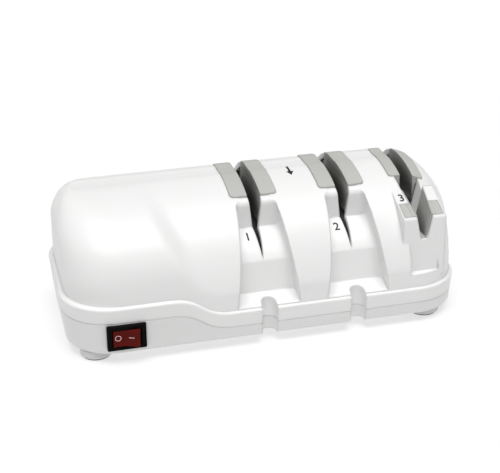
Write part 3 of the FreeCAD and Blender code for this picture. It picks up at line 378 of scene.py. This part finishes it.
def glyphMesh(text, look):
    # flat outline of one sign, centred; its capital height is a share of the font size
    curve = bpy.data.curves.new("sign", "FONT")
    curve.body = text
    curve.size = look["height"] / capShare
    curve.align_x = "CENTER"
    curve.align_y = "CENTER"
    curve.resolution_u = curveSteps
    curve.offset = look["weight"]
    holder = bpy.data.objects.new("sign", curve)
    bpy.context.collection.objects.link(holder)
    bpy.context.view_layer.update()
    mesh = bpy.data.meshes.new_from_object(holder)
    bpy.data.objects.remove(holder)
    form = bmesh.new()
    form.from_mesh(mesh)
    middle = (min(v.co.y for v in form.verts) + max(v.co.y for v in form.verts)) / 2
    centre = (min(v.co.x for v in form.verts) + max(v.co.x for v in form.verts)) / 2
    bmesh.ops.translate(form, verts=form.verts, vec=(-centre, -middle, 0.0))
    return form


def arrowMesh(look):
    # shaft and head of the pull arrow, pointing to -Y
    form = bmesh.new()
    half, wide, reach = look["shaft"] / 2, look["headHalf"], look["length"] / 2
    neck = look["head"] - reach
    outline = [(half, reach), (half, neck), (wide, neck), (0.0, -reach),
               (-wide, neck), (-half, neck), (-half, reach)]
    form.faces.new([form.verts.new((x, y, 0.0)) for x, y in outline])
    return form


def layMark(name, form, place, across, upward, tree, look, body):
    # sets a flat mark on a surface, follows its curve, and gives it a thickness
    bmesh.ops.remove_doubles(form, verts=form.verts, dist=weldReach)
    bmesh.ops.triangulate(form, faces=form.faces)
    longEdges = [e for e in form.edges if e.calc_length() > look["facet"]]
    bmesh.ops.subdivide_edges(form, edges=longEdges, cuts=facetCuts, use_grid_fill=True)
    bmesh.ops.triangulate(form, faces=form.faces)
    across = Vector(across).normalized()
    upward = Vector(upward)
    upward = (upward - across * upward.dot(across)).normalized()
    outward = across.cross(upward)
    turn = Matrix((across, upward, outward)).transposed().to_4x4()
    bmesh.ops.transform(form, matrix=Matrix.Translation(place) @ turn, verts=form.verts)
    for vert in form.verts:
        start = vert.co + outward * look["reach"]
        hit = tree.ray_cast(start, -outward, look["reach"] * searchReaches)[0]
        if hit is not None:
            vert.co = hit - outward * look["sink"]
    mark = bpy.data.meshes.new(name)
    bmesh.ops.recalc_face_normals(form, faces=form.faces)
    if sum(f.normal.dot(outward) for f in form.faces) < 0:
        bmesh.ops.reverse_faces(form, faces=form.faces)
    raised = bmesh.ops.extrude_face_region(form, geom=list(form.faces))
    top = [g for g in raised["geom"] if isinstance(g, bmesh.types.BMVert)]
    bmesh.ops.translate(form, verts=top, vec=outward * (look["proud"] + look["sink"]))
    bmesh.ops.recalc_face_normals(form, faces=form.faces)
    form.to_mesh(mark)
    form.free()
    piece = bpy.data.objects.new(name, mark)
    bpy.context.collection.objects.link(piece)
    mark.materials.append(look["ink"])
    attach(piece, body)


stageMarks = {"ink": printedInk("blackInk", (0.010, 0.010, 0.011), 0.5),
              "height": 0.0047, "weight": 0.00014, "facet": 0.0008, "reach": 0.006,
              "sink": 0.00006, "proud": 0.00005, "slot": "switch_case"}
stagePlaces = {
    "stageNumber_1": ("1", (-0.0081, -0.0262, 0.0545), (0.0, 0.55, 0.83)),
    "stageNumber_2": ("2", (0.0425, -0.0262, 0.0545), (0.0, 0.55, 0.83)),
    "stageNumber_3": ("3", (0.0789, -0.0285, 0.0680), (0.0, 0.62, 0.78)),
}
pullArrow = dict(stageMarks, length=0.0105, head=0.0042, headHalf=0.0021, shaft=0.0013,
                 place=(0.0236, 0.0028, 0.0800))


def makeStageMarks():
    skin = surfaceTree("upper_housing")
    for name, (text, place, upward) in stagePlaces.items():
        form = glyphMesh(text, stageMarks)
        layMark(name, form, Vector(place), (1, 0, 0), upward, skin, stageMarks, "body")
    layMark("pullArrow", arrowMesh(pullArrow), Vector(pullArrow["place"]), (1, 0, 0),
            (0, 1, 0), skin, pullArrow, "body")


makeStageMarks()
print("stage marks laid")


# signs on the rocker

rockerSigns = {"ink": printedInk("whiteInk", (0.78, 0.56, 0.54), 0.4), "facet": 0.0006,
               "reach": 0.003, "sink": 0.00004, "proud": 0.00005, "slot": "switch_case",
               "ring": 0.00165, "ringSides": 28, "line": 0.00028, "bar": 0.0027,
               "offPlace": -0.0047, "onPlace": 0.0022, "lean": 0.0897}


def makeRockerSigns():
    button = surfaceTree("switch_rocker")
    low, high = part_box("switch_rocker")
    middle = (Vector(low) + Vector(high)) / 2
    lean = rockerSigns["lean"]
    upward = (0.0, -math.sin(lean), math.cos(lean))
    signs = {"rockerOff": (rockerSigns["offPlace"], offRing()),
             "rockerOn": (rockerSigns["onPlace"], onBar())}
    for name, (aside, form) in signs.items():
        place = Vector((middle.x + aside, low[1], middle.z))
        layMark(name, form, place, (1, 0, 0), upward, button, rockerSigns, "rocker")


def offRing():
    # a disc inset by the line's width, with the many-sided middle face taken out
    form = bmesh.new()
    bmesh.ops.create_circle(form, segments=rockerSigns["ringSides"],
                            radius=rockerSigns["ring"], cap_ends=True)
    bmesh.ops.inset_region(form, faces=form.faces, thickness=rockerSigns["line"],
                           use_boundary=True, use_even_offset=True)
    middle = [f for f in form.faces if len(f.verts) > 4]
    bmesh.ops.delete(form, geom=middle, context="FACES_ONLY")
    return form


def onBar():
    form = bmesh.new()
    bmesh.ops.create_grid(form, x_segments=4, y_segments=1, size=0.5)
    bmesh.ops.scale(form, vec=(rockerSigns["bar"], rockerSigns["line"], 1.0), verts=form.verts)
    return form


makeRockerSigns()
print("rocker signs laid")


# floor, light and camera

studio = {"floorSize": 6.0, "floorColour": (0.40, 0.40, 0.40), "floorRough": 0.9,
          "floorGlow": 0.56, "sky": 0.19, "sunPower": 3.15, "sunSpread": 50.0,
          "sunTurn": (14.0, 0.0, -14.0)}


def makeFloor():
    form = bmesh.new()
    bmesh.ops.create_grid(form, x_segments=1, y_segments=1, size=studio["floorSize"] / 2)
    mesh = bpy.data.meshes.new("floor")
    form.to_mesh(mesh)
    form.free()
    floor = bpy.data.objects.new("floor", mesh)
    bpy.context.collection.objects.link(floor)
    material, tree, shader = startMaterial("paleFloor", studio["floorColour"], studio["floorRough"])
    shader.inputs["Specular IOR Level"].default_value = 0.0
    shader.inputs["Emission Color"].default_value = (1.0, 1.0, 1.0, 1.0)
    shader.inputs["Emission Strength"].default_value = studio["floorGlow"]
    mesh.materials.append(material)


def makeSun():
    # broad soft light from above and a little in front
    light = bpy.data.lights.new("softSun", "SUN")
    light.energy = studio["sunPower"]
    light.angle = math.radians(studio["sunSpread"])
    lamp = bpy.data.objects.new("softSun", light)
    lamp.rotation_euler = [math.radians(a) for a in studio["sunTurn"]]
    bpy.context.collection.objects.link(lamp)


def makeSky():
    world = bpy.data.worlds.new("studioSky")
    world.use_nodes = True
    back = world.node_tree.nodes["Background"]
    back.inputs["Color"].default_value = (1.0, 1.0, 1.0, 1.0)
    back.inputs["Strength"].default_value = studio["sky"]
    bpy.context.scene.world = world


viewpoint = {"place": (-0.15330, -0.60898, 0.32456), "turn": (65.791, 0.7657, -14.4511),
             "lens": 87.355, "sensor": 36.0, "nearest": 0.01}


def makeCamera():
    data = bpy.data.cameras.new("viewpoint")
    data.lens = viewpoint["lens"]
    data.sensor_width = viewpoint["sensor"]
    data.clip_start = viewpoint["nearest"]
    camera = bpy.data.objects.new("viewpoint", data)
    camera.location = viewpoint["place"]
    camera.rotation_euler = [math.radians(a) for a in viewpoint["turn"]]
    bpy.context.collection.objects.link(camera)
    bpy.context.scene.camera = camera


makeFloor()
makeSun()
makeSky()
makeCamera()
bpy.context.scene.view_settings.view_transform = "Standard"
print("stage, lights and camera set")
